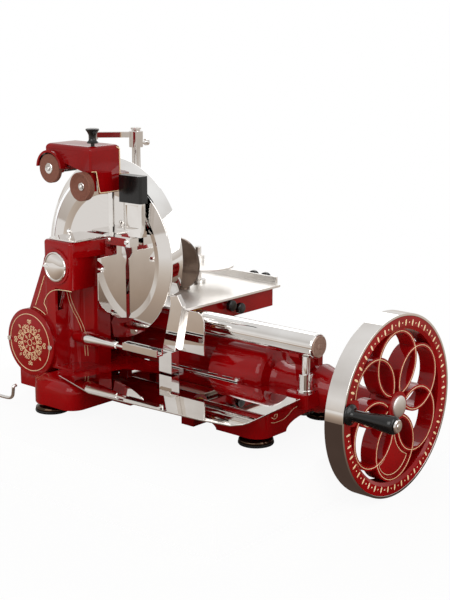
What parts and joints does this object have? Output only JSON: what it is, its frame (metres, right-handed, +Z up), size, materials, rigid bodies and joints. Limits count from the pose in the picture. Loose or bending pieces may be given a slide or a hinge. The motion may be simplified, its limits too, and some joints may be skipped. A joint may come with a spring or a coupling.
{
  "type": "meat slicer",
  "caption": "Hand cranked rotary meat slicer: large spoked flywheel with handle, round blade in a ring guard, sliding carriage, feed table, sharpener and tray.",
  "frame": {"origin": "centre of the underside of the front right foot, on the plane the feet rest on", "axes": "+X along the flywheel shaft to the flywheel, +Y along the blade's axis to the meat side, +Z up"},
  "size_m": [0.7235, 0.427, 0.512],
  "materials": {
    "red_enamel": "glossy deep red enamel",
    "chrome": "mirror polished plate",
    "polished_steel": "polished steel",
    "black_handle": "smooth black moulding",
    "abrasive": "brown vitrified abrasive",
    "bronze": "bearing bronze",
    "gear_steel": "machined gear metal",
    "black_rubber": "matt black"
  },
  "bodies": {
    "frame": {"base_casting": "red_enamel", "column_casting": "red_enamel", "gear_cover": "red_enamel", "shaft_nose": "red_enamel", "end_bracket": "red_enamel", "chain_cover": "red_enamel", "spindle_housing": "red_enamel", "feet": "black_rubber", "shaft_bushes": "bronze", "slotted_screws": "polished_steel", "slide_bars": "chrome", "bar_post": "chrome", "blade_guard": "chrome", "guard_arm": "chrome", "badge_plate": "chrome", "deflector_plate": "chrome", "deflector_block": "polished_steel", "adjusting_rod": "chrome", "receiving_tray": "chrome", "tray_bracket": "chrome", "sharpener_post": "chrome", "drive_chain": "polished_steel"},
    "flywheel": {"flywheel": "red_enamel", "rim_band": "chrome", "hub_cap": "chrome", "flywheel_shaft": "polished_steel", "handle_stud": "chrome"},
    "handle_grip": {"handle_grip": "black_handle"},
    "countershaft": {"countershaft": "gear_steel"},
    "cross_shaft": {"cross_shaft": "gear_steel"},
    "jackshaft": {"jackshaft": "gear_steel"},
    "upright_pinion": {"upright_pinion": "gear_steel"},
    "crank_gear": {"crank_gear": "gear_steel"},
    "blade": {"blade": "chrome", "blade_spindle": "polished_steel", "blade_nut": "polished_steel"},
    "thickness_dial": {"thickness_dial": "chrome"},
    "carriage": {"carriage": "red_enamel", "carriage_bushes": "bronze"},
    "roller_left": {"roller_left": "polished_steel"},
    "roller_right": {"roller_right": "polished_steel"},
    "connecting_rod": {"connecting_rod": "gear_steel"},
    "carriage_knob_upper": {"carriage_knob_upper": "black_handle"},
    "carriage_knob_lower": {"carriage_knob_lower": "black_handle"},
    "meat_table": {"meat_table": "chrome", "feed_nut": "bronze", "table_posts": "chrome", "end_plate": "chrome"},
    "feed_screw": {"feed_screw": "polished_steel"},
    "table_knob_left": {"table_knob_left": "black_handle"},
    "table_knob_right": {"table_knob_right": "black_handle"},
    "press_collar": {"press_collar": "chrome"},
    "press_arm": {"press_arm": "chrome"},
    "clamp_plate": {"clamp_plate": "chrome"},
    "sharpener": {"sharpener_body": "red_enamel"},
    "push_knob": {"push_knob": "black_handle"},
    "grinding_wheel": {"grinding_wheel": "abrasive"},
    "honing_wheel": {"honing_wheel": "abrasive"},
    "release_lever": {"release_lever": "chrome"}
  },
  "joints": [
    {"name": "flywheel_turn", "type": "hinge", "parent": "frame", "child": "flywheel", "pos_m": [0.132, 0.121, 0.06], "axis": [1, 0, 0], "continuous": true},
    {"name": "grip_spin", "type": "hinge", "parent": "flywheel", "child": "handle_grip", "pos_m": [0.204, 0.001, 0.07699], "axis": [1, 0, 0], "continuous": true},
    {"name": "countershaft_turn", "type": "hinge", "parent": "frame", "child": "countershaft", "pos_m": [-0.171, 0.121, 0.091], "axis": [1, 0, 0], "continuous": true},
    {"name": "cross_shaft_turn", "type": "hinge", "parent": "frame", "child": "cross_shaft", "pos_m": [-0.418, 0.039, 0.091], "axis": [0, 1, 0], "continuous": true},
    {"name": "jackshaft_turn", "type": "hinge", "parent": "frame", "child": "jackshaft", "pos_m": [-0.35554, -0.011, 0.22579], "axis": [0, 1, 0], "continuous": true},
    {"name": "blade_turn", "type": "hinge", "parent": "frame", "child": "blade", "pos_m": [-0.326, 0.03, 0.231], "axis": [0, 1, 0], "continuous": true},
    {"name": "upright_pinion_turn", "type": "hinge", "parent": "frame", "child": "upright_pinion", "pos_m": [-0.00529, 0.121, 0.03], "axis": [0, 0, 1], "continuous": true},
    {"name": "crank_gear_turn", "type": "hinge", "parent": "frame", "child": "crank_gear", "pos_m": [-0.111, 0.084, 0.022], "axis": [0, 0, 1], "continuous": true},
    {"name": "carriage_slide", "type": "slide", "parent": "frame", "child": "carriage", "axis": [1, 0, 0], "range_m": [0, 0.18]},
    {"name": "roller_left_turn", "type": "hinge", "parent": "carriage", "child": "roller_left", "pos_m": [-0.369, 0.179, 0.118], "axis": [0, 1, 0], "continuous": true},
    {"name": "roller_right_turn", "type": "hinge", "parent": "carriage", "child": "roller_right", "pos_m": [-0.211, 0.179, 0.118], "axis": [0, 1, 0], "continuous": true},
    {"name": "connecting_rod_swing", "type": "hinge", "parent": "carriage", "child": "connecting_rod", "pos_m": [-0.351, 0.084, 0.032], "axis": [0, 0, 1], "range_deg": [-35, 35]},
    {"name": "table_feed", "type": "slide", "parent": "carriage", "child": "meat_table", "axis": [0, 1, 0], "range_m": [0, 0.09]},
    {"name": "feed_screw_turn", "type": "hinge", "parent": "carriage", "child": "feed_screw", "pos_m": [-0.237, 0.189, 0.139], "axis": [0, 1, 0], "continuous": true},
    {"name": "carriage_knob_upper_turn", "type": "hinge", "parent": "carriage", "child": "carriage_knob_upper", "pos_m": [-0.181, 0.156, 0.149], "axis": [1, 0, 0], "range_deg": [-180, 180]},
    {"name": "carriage_knob_lower_turn", "type": "hinge", "parent": "carriage", "child": "carriage_knob_lower", "pos_m": [-0.181, 0.178, 0.141], "axis": [1, 0, 0], "range_deg": [-180, 180]},
    {"name": "table_knob_left_turn", "type": "hinge", "parent": "meat_table", "child": "table_knob_left", "pos_m": [-0.25, 0.294, 0.166], "axis": [0, 1, 0], "range_deg": [-180, 180]},
    {"name": "table_knob_right_turn", "type": "hinge", "parent": "meat_table", "child": "table_knob_right", "pos_m": [-0.224, 0.294, 0.166], "axis": [0, 1, 0], "range_deg": [-180, 180]},
    {"name": "press_slide", "type": "slide", "parent": "meat_table", "child": "press_collar", "axis": [0, 0, 1], "range_m": [-0.12, 0]},
    {"name": "press_swing", "type": "hinge", "parent": "press_collar", "child": "press_arm", "pos_m": [-0.393, 0.159, 0.408], "axis": [0, 0, 1], "range_deg": [-10, 140]},
    {"name": "clamp_slide", "type": "slide", "parent": "meat_table", "child": "clamp_plate", "axis": [0, 0, 1], "range_m": [0, 0.02]},
    {"name": "dial_turn", "type": "hinge", "parent": "frame", "child": "thickness_dial", "pos_m": [-0.357, -0.061, 0.222], "axis": [0, 1, 0], "range_deg": [-150, 150]},
    {"name": "sharpener_lift", "type": "slide", "parent": "frame", "child": "sharpener", "axis": [0, 0, 1], "range_m": [0, 0.02]},
    {"name": "push_knob_press", "type": "slide", "parent": "sharpener", "child": "push_knob", "axis": [0, 0, 1], "range_m": [-0.004, 0], "stiffness_N_per_m": 400},
    {"name": "grinding_wheel_turn", "type": "hinge", "parent": "sharpener", "child": "grinding_wheel", "pos_m": [-0.381, -0.041, 0.372], "axis": [0, 1, 0], "continuous": true},
    {"name": "honing_wheel_turn", "type": "hinge", "parent": "sharpener", "child": "honing_wheel", "pos_m": [-0.31, -0.041, 0.35], "axis": [0, 1, 0], "continuous": true},
    {"name": "release_lever_turn", "type": "hinge", "parent": "frame", "child": "release_lever", "pos_m": [-0.399, -0.115, 0.034], "axis": [0, 1, 0], "range_deg": [0, 25]}
  ],
  "couplings": [
    {"joint": "countershaft_turn", "follows": "flywheel_turn", "ratio": -1.6667},
    {"joint": "cross_shaft_turn", "follows": "flywheel_turn", "ratio": -1.6667},
    {"joint": "jackshaft_turn", "follows": "flywheel_turn", "ratio": -2.5},
    {"joint": "blade_turn", "follows": "flywheel_turn", "ratio": 2.5},
    {"joint": "upright_pinion_turn", "follows": "flywheel_turn", "ratio": 1},
    {"joint": "crank_gear_turn", "follows": "flywheel_turn", "ratio": -0.16667},
    {"joint": "roller_left_turn", "follows": "carriage_slide", "rad_per_m": 125},
    {"joint": "roller_right_turn", "follows": "carriage_slide", "rad_per_m": 125},
    {"joint": "feed_screw_turn", "follows": "table_feed", "rad_per_m": 628.32}
  ]
}
